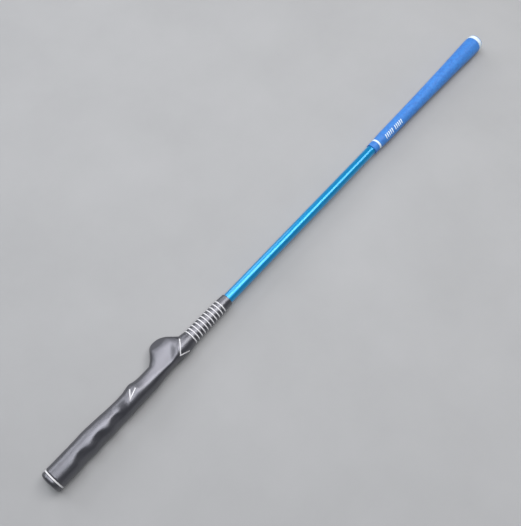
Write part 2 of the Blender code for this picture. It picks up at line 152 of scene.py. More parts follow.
def reach(x, phi, pad_on):
    """Distance from the shaft axis to the grip's surface, for arrays of x and phi."""
    shape = x.shape
    x, phi = x.ravel(), phi.ravel()
    out = np.empty(x.size)
    for a in range(0, x.size, 6000):
        out[a:a + 6000] = _reach(x[a:a + 6000], phi[a:a + 6000], pad_on)
    return out.reshape(shape)


def _reach(x, phi, pad_on):
    X, P = x[:, None], phi[:, None]
    th = DIRS[None, :]
    u = th - TOP_PHI
    sw, sp, st, sf = side_wing(X), side_palm(X), side_top(X), side_floor(X)
    h = ((sw - sp) / 2 * np.cos(u) + (st - sf) / 2 * np.sin(u)
         + np.hypot((sw + sp) / 2 * np.cos(u), (st + sf) / 2 * np.sin(u)))
    winged = (X > 168.0) & (X < 234.0)
    w = wing_reach(X)
    lift = ease((w - 9.0) / 21.0)
    cy = (w - WING_R) / math.cos(TOP_PHI)
    tip = cy * np.cos(th) + WING_R
    foot = 0.78 * cy * np.cos(th) - (FOOT_DROP - FOOT_R) * lift * np.sin(th) + FOOT_R
    h = np.where(winged, np.maximum(h, np.maximum(tip, foot)), h)
    c = np.cos(P - th)
    cand = np.where(c > 0.15, h / np.maximum(c, 0.15), 1e6)
    k = cand.argmin(1)
    n = len(DIRS)
    i = np.arange(len(x))
    f0, f1, f2 = cand[i, (k - 1) % n], cand[i, k], cand[i, (k + 1) % n]
    den = f0 - 2 * f1 + f2
    r = np.where(den > 1e-9, f1 - (f0 - f2) ** 2 / (8 * np.maximum(den, 1e-9)), f1)
    if pad_on:
        facing = np.radians(pad_phi(x))
        cc = np.cos(phi - facing)
        pad = pad_height(x)
        across = pad * np.tan(np.clip(facing - phi, -1.5, 1.5))
        up = RISE * ease((x - RISE_LEAN * across - RISE_START) / RISE_LENGTH)
        flat = np.where((cc > 0.2) & (x > 138.0), (pad + up) / np.maximum(cc, 0.2), 1e3)
        r = soft_min(r, flat, 0.7)
        cc = np.cos(phi - FALL_PHI)
        r = soft_min(r, np.where((cc > 0.2) & (x > 182.0), wing_fall(x) / np.maximum(cc, 0.2), 1e3), 0.9)
        cc = np.cos(phi - SHOULDER_PHI)
        r = soft_min(r, np.where((cc > 0.2) & (x > 138.0) & (x < 188.0), shoulder(x) / np.maximum(cc, 0.2), 1e3), 1.0)
    wave = sum(np.exp(-((x - q) / HOLLOW_LENGTH) ** 2) for q in HOLLOWS)
    d = np.degrees(phi) % 360.0
    return r - (HOLLOW_DEPTH * wave * ease((d - HOLLOW_START) / (HOLLOW_FULL - HOLLOW_START))
                * ease((HOLLOW_END - d) / (HOLLOW_END - HOLLOW_FADE)))


def neck_radius(x):
    x = np.asarray(x, float)
    a = NECK_R0 + (NECK_R1 - NECK_R0) * (x - NECK_X0) / (NECK_X1 - NECK_X0)
    b = NECK_R1 + (MOUTH_R - NECK_R1) * np.clip((x - NECK_X1) / (GRIP_X1 - 1.0 - NECK_X1), 0, 1)
    return np.where(x <= NECK_X1, a, b)


def blur(grid, sigma_rows, sigma_cols):
    """Gaussian blur, wrapping round the section and holding the first and last rows."""
    def kernel(s):
        n = max(1, int(3 * s))
        k = np.exp(-0.5 * (np.arange(-n, n + 1) / s) ** 2)
        return k / k.sum(), n
    k, n = kernel(sigma_cols)
    g = sum(w * np.roll(grid, j - n, axis=1) for j, w in enumerate(k))
    k, n = kernel(sigma_rows)
    pad = np.concatenate([np.repeat(g[:1], n, 0), g, np.repeat(g[-1:], n, 0)])
    return sum(w * pad[j:j + len(g)] for j, w in enumerate(k))


# ------------------------------------------------------------- mesh helpers


def grid_mesh(name, rings, closed=True, caps=False):
    """Skin rings of points (n, m, 3), in mm.  closed joins the last ring to the first."""
    rings = np.asarray(rings, float) * MM
    n, m, _ = rings.shape
    idx = np.arange(n * m).reshape(n, m)
    rows = range(n if closed else n - 1)
    quads = []
    for i in rows:
        a, b = idx[i], idx[(i + 1) % n]
        quads.append(np.stack([a, b, np.roll(b, -1), np.roll(a, -1)], 1))
    faces = [tuple(int(v) for v in q) for q in np.concatenate(quads)]
    mesh = bpy.data.meshes.new(name)
    mesh.from_pydata([tuple(p) for p in rings.reshape(-1, 3)], [], faces)
    bm = bmesh.new()
    bm.from_mesh(mesh)
    if not closed:
        bmesh.ops.remove_doubles(bm, verts=bm.verts, dist=1e-7)
        bmesh.ops.dissolve_degenerate(bm, edges=bm.edges, dist=1e-8)
    bmesh.ops.recalc_face_normals(bm, faces=bm.faces)
    if bm.calc_volume(signed=True) < 0:
        bmesh.ops.reverse_faces(bm, faces=bm.faces)
    bm.to_mesh(mesh)
    bm.free()
    mesh.shade_smooth()
    mesh.set_sharp_from_angle(angle=math.radians(38))
    obj = bpy.data.objects.new(name, mesh)
    bpy.context.scene.collection.objects.link(obj)
    return obj


def ring_of(x, r, m=SEG):
    a = 2 * np.pi * np.arange(m) / m
    return np.stack([np.full(m, x), r * np.cos(a), r * np.sin(a)], 1)


def rounded(points, radius, closed=True, steps=4):
    """Round each corner of an (x, r) outline with a small curve."""
    out = []
    n = len(points)
    for i, p in enumerate(points):
        p = np.array(p, float)
        if not closed and i in (0, n - 1):
            out.append(p)
            continue
        a, b = np.array(points[i - 1], float), np.array(points[(i + 1) % n], float)
        la, lb = np.linalg.norm(a - p), np.linalg.norm(b - p)
        ra, rb = min(radius, la * 0.45), min(radius, lb * 0.45)
        q0, q1 = p + (a - p) / la * ra, p + (b - p) / lb * rb
        for k in range(steps + 1):
            t = k / steps
            out.append((1 - t) ** 2 * q0 + 2 * t * (1 - t) * p + t * t * q1)
    return out


def turned(name, outline, closed=True, seg=SEG):
    return grid_mesh(name, [ring_of(x, max(r, 0.0), seg) for x, r in outline], closed=closed)


def join(name, objs):
    bm = bmesh.new()
    for o in objs:
        bm.from_mesh(o.data)
    mesh = bpy.data.meshes.new(name)
    bm.to_mesh(mesh)
    bm.free()
    for o in objs:
        bpy.data.objects.remove(o, do_unlink=True)
    mesh.shade_smooth()
    mesh.set_sharp_from_angle(angle=math.radians(38))
    obj = bpy.data.objects.new(name, mesh)
    bpy.context.scene.collection.objects.link(obj)
    return obj


def finish_piece(obj, mat, slot, *nodes):
    obj.data.materials.clear()
    obj.data.materials.append(mat)
    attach(obj, "root")
    if nodes:
        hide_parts(*nodes)
    return obj


# ---------------------------------------------------------------- materials


class Nodes:
    """Small helper for building a node material."""

    def __init__(self, name):
        self.mat = bpy.data.materials.new(name)
        self.mat.use_nodes = True
        self.t = self.mat.node_tree
        self.bsdf = self.t.nodes["Principled BSDF"]
        self.coord = self.t.nodes.new("ShaderNodeTexCoord")

    def add(self, kind, **values):
        n = self.t.nodes.new(kind)
        for k, v in values.items():
            if k in n.inputs:
                n.inputs[k].default_value = v
            else:
                setattr(n, k, v)
        return n

    def link(self, a, b):
        self.t.links.new(a, b)

    def scaled(self, sx, sy=None, sz=None):
        """Object coordinates times a scale, in units per metre."""
        n = self.add("ShaderNodeMapping")
        n.inputs["Scale"].default_value = (sx, sy or sx, sz or sx)
        self.link(self.coord.outputs["Object"], n.inputs["Vector"])
        return n.outputs["Vector"]

    def noise(self, scale, detail=3.0, rough=0.55, vector=None):
        n = self.add("ShaderNodeTexNoise", Scale=scale, Detail=detail, Roughness=rough)
        self.link(vector or self.coord.outputs["Object"], n.inputs["Vector"])
        return n.outputs["Fac"]

    def ramp(self, fac, a, b, ca, cb):
        n = self.add("ShaderNodeValToRGB")
        n.color_ramp.elements[0].position = a
        n.color_ramp.elements[1].position = b
        n.color_ramp.elements[0].color = (*ca, 1)
        n.color_ramp.elements[1].color = (*cb, 1)
        self.link(fac, n.inputs["Fac"])
        return n.outputs["Color"]

    def span(self, fac, lo, hi, a=0.3, b=0.7):
        n = self.add("ShaderNodeMapRange")
        n.inputs["From Min"].default_value = a
        n.inputs["From Max"].default_value = b
        n.inputs["To Min"].default_value = lo
        n.inputs["To Max"].default_value = hi
        self.link(fac, n.inputs["Value"])
        return n.outputs["Result"]

    def mix(self, fac, a, b):
        n = self.add("ShaderNodeMix", data_type="RGBA")
        for s, v in ((n.inputs[0], fac), (n.inputs[6], a), (n.inputs[7], b)):
            if hasattr(v, "links"):
                self.link(v, s)
            elif isinstance(v, (int, float)):
                s.default_value = v
            else:
                s.default_value = (*v, 1)
        return n.outputs[2]

    def math(self, op, a, b=0.0):
        n = self.add("ShaderNodeMath", operation=op)
        for s, v in ((n.inputs[0], a), (n.inputs[1], b)):
            if hasattr(v, "links"):
                self.link(v, s)
            else:
                s.default_value = v
        return n.outputs[0]

    def bump(self, height, strength, distance, normal=None):
        n = self.add("ShaderNodeBump")
        n.inputs["Strength"].default_value = strength
        n.inputs["Distance"].default_value = distance
        self.link(height, n.inputs["Height"])
        if normal is not None:
            self.link(normal, n.inputs["Normal"])
        return n.outputs["Normal"]

    def set(self, **values):
        for k, v in values.items():
            s = self.bsdf.inputs[k.replace("_", " ")]
            if hasattr(v, "links"):
                self.link(v, s)
            elif isinstance(v, (tuple, list)):
                s.default_value = (*v, 1) if len(v) == 3 and s.type == "RGBA" else v
            else:
                s.default_value = v
        return self.mat

    def pointy(self, lo, hi):
        g = self.add("ShaderNodeNewGeometry")
        return self.span(g.outputs["Pointiness"], 0.0, 1.0, lo, hi)


def wrapped(n, pitch_x, pitch_a, radius):
    """Coordinates that wrap round the stick: along it, and round it at a nominal radius, in pitches."""
    sep = n.add("ShaderNodeSeparateXYZ")
    n.link(n.coord.outputs["Object"], sep.inputs[0])
    ang = n.math("ARCTAN2", sep.outputs["Z"], sep.outputs["Y"])
    count = round(2 * math.pi * radius / pitch_a)
    u = n.math("MULTIPLY", sep.outputs["X"], 1000.0 / pitch_x)
    v = n.math("MULTIPLY", ang, count / (2 * math.pi))
    comb = n.add("ShaderNodeCombineXYZ")
    n.link(u, comb.inputs[0])
    n.link(v, comb.inputs[1])
    return comb.outputs[0], u, v


def dots(n, u, v, size):
    """Rows of soft round dots, each row shifted half a pitch; 1 in a dot and 0 between."""
    row = n.math("FLOOR", u)
    half = n.math("MULTIPLY", n.math("MODULO", row, 2.0), 0.5)
    fx = n.math("SUBTRACT", n.math("FRACT", u), 0.5)
    fy = n.math("SUBTRACT", n.math("FRACT", n.math("ADD", v, half)), 0.5)
    d = n.math("SQRT", n.math("ADD", n.math("MULTIPLY", fx, fx), n.math("MULTIPLY", fy, fy)))
    return n.span(d, 1.0, 0.0, size * 0.45, size)


def black_rubber(name, dotted=True):
    n = Nodes(name)
    cloud = n.noise(28.0, 4.0)
    grain = n.noise(2600.0, 2.0, 0.6)
    pores = n.noise(900.0, 3.0, 0.7)
    smear = n.noise(90.0, 3.0, 0.5, n.scaled(0.35, 1.0, 1.0))
    base = n.ramp(cloud, 0.3, 0.75, (0.009, 0.009, 0.011), (0.019, 0.019, 0.023))
    worn = n.pointy(0.505, 0.56)
    base = n.mix(n.math("MULTIPLY", worn, 0.35), base, (0.06, 0.06, 0.065))
    dust = n.span(n.noise(160.0, 5.0, 0.7), 0.0, 0.16, 0.55, 0.8)
    base = n.mix(dust, base, (0.16, 0.155, 0.15))
    rough = n.math("ADD", n.span(smear, 0.31, 0.40), n.math("MULTIPLY", grain, 0.06))
    nrm = n.bump(grain, 0.35, 0.00006)
    nrm = n.bump(pores, 0.3, 0.00008, nrm)
    if dotted:
        _, u, v = wrapped(n, 1.7, 1.7, 13.5)
        nrm = n.bump(dots(n, u, v, 0.36), 0.55, 0.00007, nrm)
    return n.set(Base_Color=base, Roughness=rough, Normal=nrm, Specular_IOR_Level=1.0, IOR=1.75,
                 Specular_Tint=(0.92, 0.93, 1.0), Sheen_Weight=0.02, Sheen_Roughness=0.4, Sheen_Tint=(0.75, 0.78, 0.9))


def blue_rubber(name, dotted=True):
    n = Nodes(name)
    cloud = n.noise(24.0, 4.0)
    grain = n.noise(2400.0, 2.0, 0.6)
    pores = n.noise(800.0, 3.0, 0.7)
    base = n.ramp(cloud, 0.3, 0.72, (0.034, 0.20, 0.58), (0.044, 0.235, 0.66))
    worn = n.pointy(0.505, 0.56)
    base = n.mix(n.math("MULTIPLY", worn, 0.3), base, (0.16, 0.42, 0.95))
    grime = n.span(n.noise(60.0, 5.0, 0.65), 0.0, 0.22, 0.55, 0.85)
    base = n.mix(grime, base, (0.03, 0.12, 0.42))
    mottle = n.span(n.noise(240.0, 3.0, 0.6), 0.0, 0.60, 0.42, 0.64)
    base = n.mix(mottle, base, (0.028, 0.13, 0.44))
    rough = n.math("ADD", n.span(n.noise(110.0, 3.0), 0.48, 0.62), n.math("MULTIPLY", grain, 0.06))
    nrm = n.bump(grain, 0.35, 0.00006)
    nrm = n.bump(pores, 0.3, 0.00008, nrm)
    return n.set(Base_Color=base, Roughness=rough, Normal=nrm, Specular_IOR_Level=0.5,
                 Sheen_Weight=0.15, Sheen_Roughness=0.5, Sheen_Tint=(0.6, 0.75, 1.0))


def blue_lacquer(name):
    n = Nodes(name)
    along = n.scaled(0.02, 1.0, 1.0)
    brush = n.noise(1100.0, 2.0, 0.5, along)
    cloud = n.noise(12.0, 3.0)
    base = n.ramp(cloud, 0.25, 0.75, (0.0, 0.27, 0.58), (0.002, 0.30, 0.64))
    scuff = n.noise(420.0, 4.0, 0.75, n.scaled(0.12, 1.0, 1.0))
    rough = n.math("ADD", n.span(brush, 0.30, 0.34), n.span(scuff, 0.0, 0.06, 0.62, 0.85))
    nrm = n.bump(n.noise(60.0, 2.0, 0.4, n.scaled(0.1, 1.0, 1.0)), 0.05, 0.0001)
    return n.set(Base_Color=base, Metallic=0.5, Roughness=rough, Normal=nrm, Coat_Weight=0.65,
                 Coat_Roughness=0.10, Coat_IOR=1.5)


def white_enamel(name, tint=(0.82, 0.82, 0.82)):
    n = Nodes(name)
    cloud = n.noise(140.0, 4.0, 0.6)
    dark = tuple(c * 0.82 for c in tint)
    base = n.ramp(cloud, 0.3, 0.6, dark, tint)
    grime = n.span(n.noise(700.0, 4.0, 0.7), 0.0, 0.35, 0.56, 0.8)
    base = n.mix(grime, base, (0.35, 0.35, 0.34))
    nrm = n.bump(n.noise(1200.0, 2.0), 0.25, 0.00005)
    return n.set(Base_Color=base, Roughness=n.span(cloud, 0.38, 0.55), Normal=nrm)


def plain(name, colour, rough, metal=0.0, scale=300.0, stretch=None, depth=0.00005):
    n = Nodes(name)
    v = n.scaled(*stretch) if stretch else None
    cloud = n.noise(scale, 4.0, 0.6, v)
    base = n.ramp(cloud, 0.3, 0.7, tuple(c * 0.75 for c in colour), tuple(min(1, c * 1.12) for c in colour))
    nrm = n.bump(cloud, 0.4, depth)
    return n.set(Base_Color=base, Metallic=metal, Roughness=n.span(cloud, rough - 0.08, rough + 0.08), Normal=nrm)


M_BLACK = black_rubber("black_rubber_moulded")
M_BLACK_CAP = black_rubber("black_rubber_cap", dotted=False)
M_BLUE = blue_rubber("blue_rubber_moulded")
M_BLUE_CAP = blue_rubber("blue_rubber_cap", dotted=False)
M_LACQUER = blue_lacquer("blue_lacquered_steel")
M_WHITE = white_enamel("white_enamel_fill")
M_WHITE_BLUE = white_enamel("white_enamel_on_blue", (0.74, 0.86, 0.92))

# ------------------------------------------------------------ training grip


def shear(s):
    return np.where(s <= STEP_S, ease((s - 176.0) / (STEP_S - 176.0)), ease((240.0 - s) / (240.0 - STEP_S)))


def groove(x):
    """How deep the ring grooves are at x, 0 to 1."""
    pitch = (NECK_X1 - NECK_X0) / (NECK_RINGS - 1)
    k = np.clip(np.round((x - NECK_X0) / pitch), 0, NECK_RINGS - 1)
    d = np.abs(x - (NECK_X0 + k * pitch))
    return ease((GROOVE_W / 2 + 0.14 - d) / 0.28)


def training_grip():
    phi = 2 * np.pi * np.arange(SEG) / SEG
    edge = 0.22

    def body(s_rows, pad_on):
        S = np.repeat(s_rows[:, None], SEG, 1)
        P = np.repeat(phi[None, :], len(s_rows), 0)
        X = S + shear(S) * STEP_SHEAR * 12.0 * np.cos(P - TOP_PHI)
        return X, reach(X, P, pad_on)

    s_a = np.concatenate([np.arange(GRIP_X0, 150.0, 0.8), np.arange(150.0, STEP_S - edge, 0.55), [STEP_S - edge]])
    s_b = np.concatenate([[STEP_S + edge], np.arange(STEP_S + edge + 0.5, 239.4, 0.55)])
    Xa, Ra = body(s_a, True)
    Xb, Rb = body(s_b, False)
    Ra = blur(Ra, 1.3, 1.6)
    Rb = blur(Rb, 1.3, 1.6)
    rows = []
    for i, s in enumerate(s_a):
        d = s - s_a[0]
        r = Ra[i] - 0.55 * (1 - math.sqrt(max(0.0, 1 - (1 - min(d / 0.8, 1)) ** 2)))
        rows.append((Xa[i], r))
    for k in range(1, 6):
        t = k / 6
        rows.append((Xa[-1] * (1 - t) + Xb[0] * t, Ra[-1] + (Rb[0] - Ra[-1]) * ease(t)))
    for i in range(len(s_b)):
        rows.append((Xb[i], Rb[i]))
    last_s = s_b[-1]
    for x in np.arange(last_s + 0.25, GRIP_X1 - 0.8, 0.2):
        r = neck_radius(x) - GROOVE_D * groove(x)
        w = ease((x - last_s) / 1.6)
        rows.append((np.full(SEG, x), Rb[-1] * (1 - w) + r * w))
    for k in range(1, 7):
        a = math.pi / 2 * k / 6
        x = GRIP_X1 - 0.7 + 0.7 * math.sin(a)
        rows.append((np.full(SEG, x), np.full(SEG, MOUTH_R - 0.45 * (1 - math.cos(a)))))
    rings = [np.stack([x, r * np.cos(phi), r * np.sin(phi)], 1) for x, r in rows]
    skin = np.array(rings)
    bore = [(GRIP_X1, LIP_R + 0.1), (GRIP_X1 - 0.2, LIP_R), (GRIP_X1 - 14.0, LIP_R), (GRIP_X1 - 14.8, BORE_R),
            (200.0, BORE_R), (100.0, BORE_R), (GRIP_X0 + 3.4, BORE_R), (GRIP_X0 + 3.4, 10.6), (GRIP_X0, 10.6)]
    rings = np.concatenate([skin, np.array([ring_of(x, r) for x, r in bore])])
    return grid_mesh("training_grip", rings), skin


grip, grip_skin = training_grip()


def skin_tree(obj):
    me = obj.data
    return BVHTree.FromPolygons([v.co.copy() for v in me.vertices], [tuple(p.vertices) for p in me.polygons])


GRIP_TREE = skin_tree(grip)
E_D = Vector((0, math.cos(TOP_PHI), math.sin(TOP_PHI)))     # across the grip, as seen from its broad side
E_C = Vector((0, -math.sin(TOP_PHI), math.cos(TOP_PHI)))    # straight up from its broad side


def on_skin(tree, x, d):
    """Surface point and normal over (x, d), in mm."""
    o = (Vector((x, 0, 0)) + E_D * d + E_C * 60) * MM
    hit, n, _, _ = tree.ray_cast(o, -E_C)
    return hit / MM, n


def inlay(name, tree, corners, width, low, high, crown=0.0, extend=0.0, step=0.7):
    """A stroke through (x, d) corners laid along the surface, from low to high over it."""
    pts = [Vector(c) for c in corners]
    path = []
    for i in range(len(pts) - 1):
        a, b = pts[i], pts[i + 1]
        d = (b - a).normalized()
        side = Vector((-d.y, d.x))
        length = (b - a).length
        n = max(2, int(length / step))
        keep = 2.6 if len(pts) > 2 else 0.0
        for k in range(n + 1):
            t = k / n
            near_a = i > 0 and t * length < keep * width
            near_b = i < len(pts) - 2 and (1 - t) * length < keep * width
            if near_a or near_b:
                continue
            q = a.lerp(b, t)
            if i == 0 and k == 0:
                q = q - d * extend
            if i == len(pts) - 2 and k == n:
                q = q + d * extend
            path.append((q, side))
        if i < len(pts) - 2:
            d2 = (pts[i + 2] - b).normalized()
            side2 = Vector((-d2.y, d2.x))
            nm = (side + side2).normalized()
            path.append((b, nm / max(0.21, nm.dot(side))))
    prof = [(-1, low), (-1, high - 0.16), (-0.82, high - 0.03), (-0.4, high + crown), (0.4, high + crown),
            (0.82, high - 0.03), (1, high - 0.16), (1, low)]
    bm = bmesh.new()
    rows = []
    for q, side in path:
        _, nc = on_skin(tree, q.x, q.y)
        row = []
        for w, level in prof:
            o = q + side * (w * width / 2)
            p, n = on_skin(tree, o.x, o.y)
            row.append(bm.verts.new((p + nc * level) * MM))
        rows.append(row)
    m = len(prof)
    for a, b in zip(rows, rows[1:]):
        for j in range(m):
            bm.faces.new((a[j], b[j], b[(j + 1) % m], a[(j + 1) % m]))
    bm.faces.new(rows[0])
    bm.faces.new(list(reversed(rows[-1])))
    bmesh.ops.recalc_face_normals(bm, faces=bm.faces)
    if bm.calc_volume(signed=True) < 0:
        bmesh.ops.reverse_faces(bm, faces=bm.faces)
    mesh = bpy.data.meshes.new(name)
    bm.to_mesh(mesh)
    bm.free()
    mesh.shade_smooth()
    mesh.set_sharp_from_angle(angle=math.radians(38))
    obj = bpy.data.objects.new(name, mesh)
    bpy.context.scene.collection.objects.link(obj)
    return obj


V_SMALL = [(140.8, 9.9), (132.3, 0.7), (147.0, 6.2)]
V_LARGE = [(228.6, 9.2), (213.9, -6.6), (227.3, -11.2)]
MARK_W = 1.5
marks = []
for tag, corners in (("small", V_SMALL), ("large", V_LARGE)):
    marks.append(inlay("v_mark_" + tag, GRIP_TREE, corners, MARK_W, -0.65, -0.05))
    cut = inlay("cut_" + tag, GRIP_TREE, corners, MARK_W + 0.35, -0.85, 1.2, extend=0.18)
    mod = grip.modifiers.new("recess_" + tag, "BOOLEAN")
    mod.operation = "DIFFERENCE"
    mod.solver = "EXACT"
    mod.object = cut
bpy.context.view_layer.update()
dg = bpy.context.evaluated_depsgraph_get()
baked = bpy.data.meshes.new_from_object(grip.evaluated_get(dg))
grip.modifiers.clear()
grip.data = baked
for tag in ("small", "large"):
    bpy.data.objects.remove(bpy.data.objects["cut_" + tag], do_unlink=True)
baked.shade_smooth()
baked.set_sharp_from_angle(angle=math.radians(38))

finish_piece(grip, M_BLACK, "black_rubber", "training_grip_sleeve")
finish_piece(marks[0], M_WHITE, "white_enamel", "training_grip_v_mark_small")
finish_piece(marks[1], M_WHITE, "white_enamel", "training_grip_v_mark_large")

# cap: a soft dome with a flat middle, a shallow moulded ring and a skirt
dome = [(CAP_X1, 0.0), (CAP_X1, 10.3), (8.75, 10.3), (8.75, 10.2), (6.55, 10.2), (6.55, CAP_R - 0.4), (6.25, CAP_R - 0.1)]
for k in range(0, 19):
    a = math.pi / 2 * k / 18
    dome.append((5.2 * (1 - math.sin(a) ** 0.63), 5.0 + (CAP_R - 5.0) * max(math.cos(a), 0.0) ** 0.63))
dome += [(0.0, 4.4), (0.28, 4.2), (0.28, 3.8), (0.0, 3.6), (0.0, 0.0)]
cap = turned("training_cap", dome, closed=False)
finish_piece(cap, M_BLACK_CAP, "black_rubber", "training_grip_cap")
ring = turned("training_butt_ring", rounded([(BRING_X1, 10.5), (BRING_X1, BRING_R + 0.1), (BRING_X0, BRING_R + 0.1),
                                             (BRING_X0, 10.5)], 0.3))
finish_piece(ring, M_WHITE, "white_enamel", "training_grip_butt_ring")

rings = []
for k, (x0, x1, r) in enumerate(RINGS):
    base = r - 0.44
    rings.append(turned("neck_ring_%02d" % k, rounded([(x1 + 0.12, base), (x1 + 0.12, r - 0.02), (x0 - 0.12, r - 0.02),
                                                      (x0 - 0.12, base)], 0.18, steps=3)))
neck = join("training_neck_rings", rings)
finish_piece(neck, M_WHITE, "white_enamel", *["training_grip_neck_ring_%02d" % k for k in range(1, 12)])

# -------------------------------------------------------------------- shaft
outline = rounded([(SHAFT_X1, SHAFT_R - 0.95), (SHAFT_X1, SHAFT_R), (SHAFT_X0, SHAFT_R), (SHAFT_X0, SHAFT_R - 0.95)],
                  0.25, steps=3)
shaft = turned("shaft", outline)
finish_piece(shaft, M_LACQUER, "blue_lacquer", "shaft_tube")

# --------------------------------------------------------------- round grip
ROUND_PROFILE = curve([(627.0, 8.25), (638.0, 8.45), (646.0, 9.05), (715.0, 9.65), (760.0, 10.3), (795.0, 11.0),
                       (823.0, 11.6), (850.0, 12.4), (870.0, 12.95), (877.0, 13.05), (880.8, 13.0)])


def dimples(x, phi):
    """Shallow staggered dimples over the gripping zone, 0 to 1."""
    pitch = 2.3
    count = 30
    row = np.floor(x / pitch)
    fx = (x / pitch - row - 0.5) * pitch
    v = phi / (2 * np.pi) * count + 0.5 * (row % 2)
    fy = (v - np.floor(v) - 0.5) * (2 * np.pi * 10.8 / count)
    d = np.hypot(fx, fy)
    zone = ease((x - 699.0) / 3.0) * ease((868.0 - x) / 3.0)
    return zone * ease((0.85 - d) / 0.6)


def round_grip():
    phi = 2 * np.pi * np.arange(SEG) / SEG
    g0, g1 = BAND_X0 - 0.3, BAND_X1 + 0.3
    rows = []
    for k in range(7):
        a = math.pi / 2 * k / 6
        rows.append((ROUND_X0 + 0.7 * (1 - math.sin(a)), 8.3 - 0.55 * (1 - math.sin(a))))
    rows = sorted(rows)
    xs = np.concatenate([np.arange(ROUND_X0 + 0.9, g0 - 0.3, 0.6), np.arange(g0 - 0.3, g1 + 0.35, 0.12),
                         np.arange(g1 + 0.6, SKIN_X1 - 0.9, 0.46)])
    for x in xs:
        r = float(ROUND_PROFILE(x))
        if x < 627.0:
            r = 8.3 - 0.05 * (x - ROUND_X0) / 5.5
        d = min(x - g0, g1 - x)
        r -= 0.5 * float(ease((d + 0.1) / 0.22))
        rows.append((x, r))
    for k in range(1, 7):
        a = math.pi / 2 * k / 6
        rows.append((SKIN_X1 - 0.8 + 0.8 * math.sin(a), float(ROUND_PROFILE(880.8)) - 0.5 * (1 - math.cos(a))))
    rings = []
    for x, r in rows:
        rr = r - 0.11 * dimples(np.full(SEG, x), phi)
        rings.append(np.stack([np.full(SEG, x), rr * np.cos(phi), rr * np.sin(phi)], 1))
    bore = [(SKIN_X1, 11.6), (ROUND_X1, 11.6), (ROUND_X1, 10.6), (ROUND_X1 - 3.4, 10.6), (ROUND_X1 - 3.4, BORE_R), (760.0, BORE_R),
            (ROUND_X0 + 15.0, BORE_R), (ROUND_X0 + 14.2, LIP_R), (ROUND_X0 + 0.2, LIP_R), (ROUND_X0, LIP_R + 0.1)]
    rings = np.concatenate([np.array(rings), np.array([ring_of(x, r) for x, r in bore])])
    return grid_mesh("round_grip", rings)


rgrip = round_grip()
ROUND_TREE = skin_tree(rgrip)
finish_piece(rgrip, M_BLUE, "blue_rubber", "round_grip_sleeve")
band = turned("round_mouth_band", rounded([(BAND_X1 + 0.2, BAND_R - 0.33), (BAND_X1 + 0.2, BAND_R + 0.02),
                                           (BAND_X0 - 0.2, BAND_R + 0.02), (BAND_X0 - 0.2, BAND_R - 0.33)], 0.16,
                                          steps=3))
finish_piece(band, M_WHITE_BLUE, "white_enamel", "round_grip_mouth_band")
rring = turned("round_butt_ring", rounded([(RRING_X1 + 0.05, 10.5), (RRING_X1 + 0.05, 12.4), (RRING_X1 - 1.5, 12.9),
                                           (RRING_X1 - 4.0, RRING_R + 0.02), (RRING_X0 - 0.05, RRING_R + 0.02),
                                           (RRING_X0 - 0.05, 11.9), (ROUND_X1 + 0.25, 11.9), (ROUND_X1 + 0.25, 10.5)],
                                          0.3))
finish_piece(rring, M_WHITE_BLUE, "white_enamel", "round_grip_butt_ring")
dome = [(RCAP_X1 - 0.15, 1.2), (RCAP_X1, 1.4), (RCAP_X1, 4.3), (RCAP_X1 - 0.25, 4.5), (RCAP_X1 - 0.25, 4.9),
        (RCAP_X1, 5.1)]
for k in range(0, 17):
    a = math.pi / 2 * k / 16
    dome.append((RCAP_X1 - 2.6 * (1 - math.cos(a)), 5.2 + (12.15 - 5.2) * math.sin(a)))
dome += [(RRING_X1 + 0.2, 11.9), (RRING_X1 + 0.2, 10.2), (ROUND_X1 + 0.2, 10.2), (ROUND_X1 + 0.2, 10.3),
         (RCAP_X0, 10.3), (RCAP_X0, 1.2)]
rcap = turned("round_cap", dome)
finish_piece(rcap, M_BLUE_CAP, "blue_rubber", "round_grip_cap")

# a plain row of slanted bars where the grip carries a printed mark
bars = []
x = 649.5
for k in range(10):
    if k == 5:
        x += 3.0
    bars.append(inlay("bar_%02d" % k, ROUND_TREE, [(x + 1.2, 1.0), (x - 0.4, -5.4)], 2.0, -0.12, 0.05, step=0.8))
    x += 3.7
mark = join("round_grip_bars", bars)
finish_piece(mark, M_WHITE_BLUE, "white_enamel")

# ------------------------------------------------- carried-over pieces inside
INSIDE = {
    "shaft_plug_training_end": plain("nylon_black", (0.03, 0.03, 0.03), 0.5, scale=500.0),
    "counterweight_bar": plain("steel_bar", (0.45, 0.45, 0.46), 0.35, 1.0, 900.0, (0.05, 1.0, 1.0), 0.00002),
    "counterweight_inner_stop": plain("foam_grey", (0.25, 0.25, 0.26), 0.9, scale=1400.0, depth=0.0003),
    "training_grip_tape": plain("paper_tape", (0.70, 0.66, 0.55), 0.85, scale=600.0),
}
INSIDE["shaft_plug_weighted_end"] = INSIDE["shaft_plug_training_end"]
INSIDE["counterweight_end_cushion"] = INSIDE["counterweight_inner_stop"]
INSIDE["round_grip_tape"] = INSIDE["training_grip_tape"]
for node, mat in INSIDE.items():
    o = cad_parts[node]
    o.data.materials.clear()
    o.data.materials.append(mat)

# ------------------------------------------------------------ floor and light
lo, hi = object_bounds()
mesh = bpy.data.meshes.new("floor")
bm = bmesh.new()
bmesh.ops.create_grid(bm, x_segments=2, y_segments=2, size=24.0)
bm.to_mesh(mesh)
bm.free()
floor = bpy.data.objects.new("floor", mesh)
bpy.context.scene.collection.objects.link(floor)
floor.location = (0.0, 0.0, lo.z - 0.0001)
floor.rotation_euler = (0.0, -0.0023, 0.0)
n = Nodes("pale_floor")
floor_cloud = n.noise(6.0, 5.0, 0.6)
n.set(Base_Color=n.ramp(floor_cloud, 0.3, 0.7, (0.345, 0.35, 0.345), (0.375, 0.38, 0.375)), Roughness=0.75)
mesh.materials.append(n.mat)
